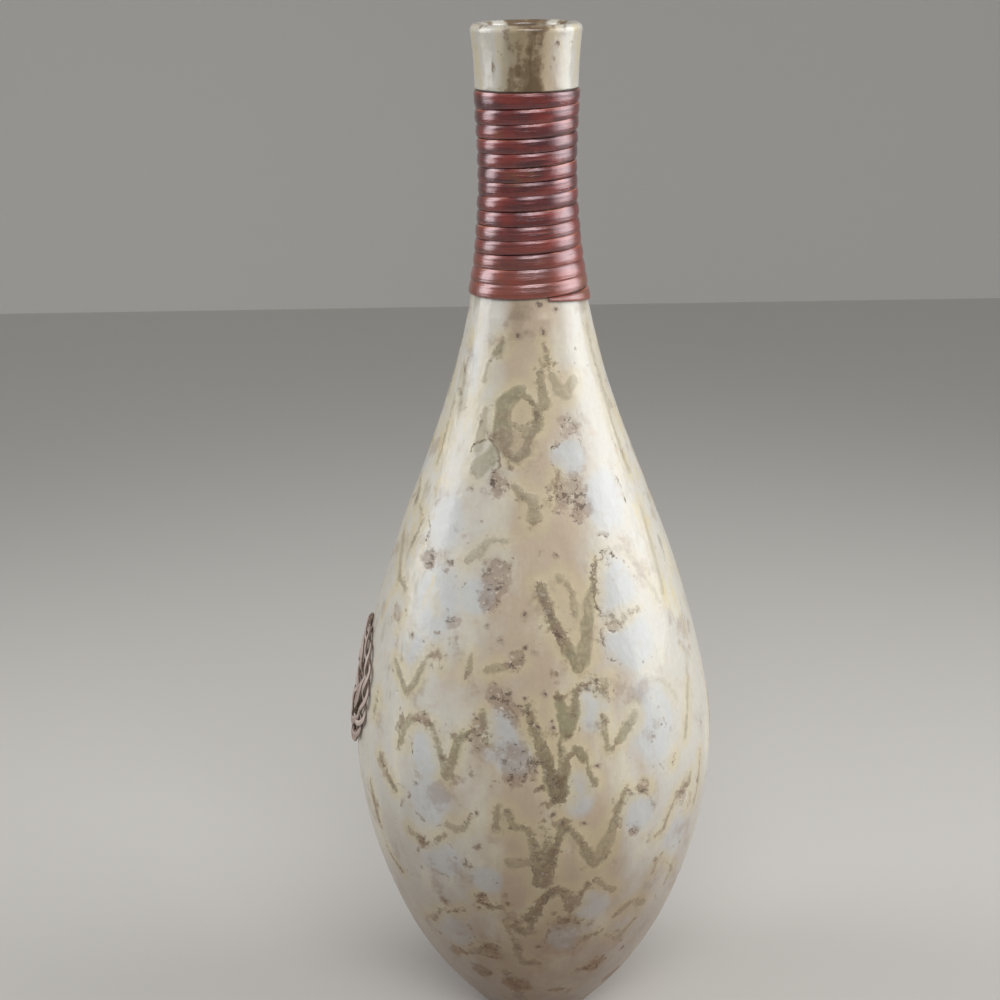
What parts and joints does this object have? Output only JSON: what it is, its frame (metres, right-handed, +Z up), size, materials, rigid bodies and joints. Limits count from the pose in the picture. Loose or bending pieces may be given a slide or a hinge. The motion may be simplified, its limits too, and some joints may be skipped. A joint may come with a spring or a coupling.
{
  "type": "bottle vase",
  "caption": "Tall drip-glazed bottle vase with a cane strip wound round its neck and a knotted cane medallion on one side of the belly.",
  "frame": {"origin": "middle of the foot ring, on the plane that the vase stands on", "axes": "+Z up along the vase's axis; -X points out through the medallion; -Y is the side seen in the picture"},
  "size_m": [0.1646, 0.1612, 0.45],
  "materials": {
    "glazed_stoneware": "glossy",
    "wrap_cane": "glossy lacquer",
    "medallion_cane": "satin"
  },
  "bodies": {
    "root": {"vase_body": "glazed_stoneware", "neck_wrap": "wrap_cane", "medallion_ring_strand_a": "medallion_cane", "medallion_ring_strand_b": "medallion_cane", "medallion_knot_strand_a": "medallion_cane", "medallion_knot_strand_b": "medallion_cane"}
  },
  "joints": []
}
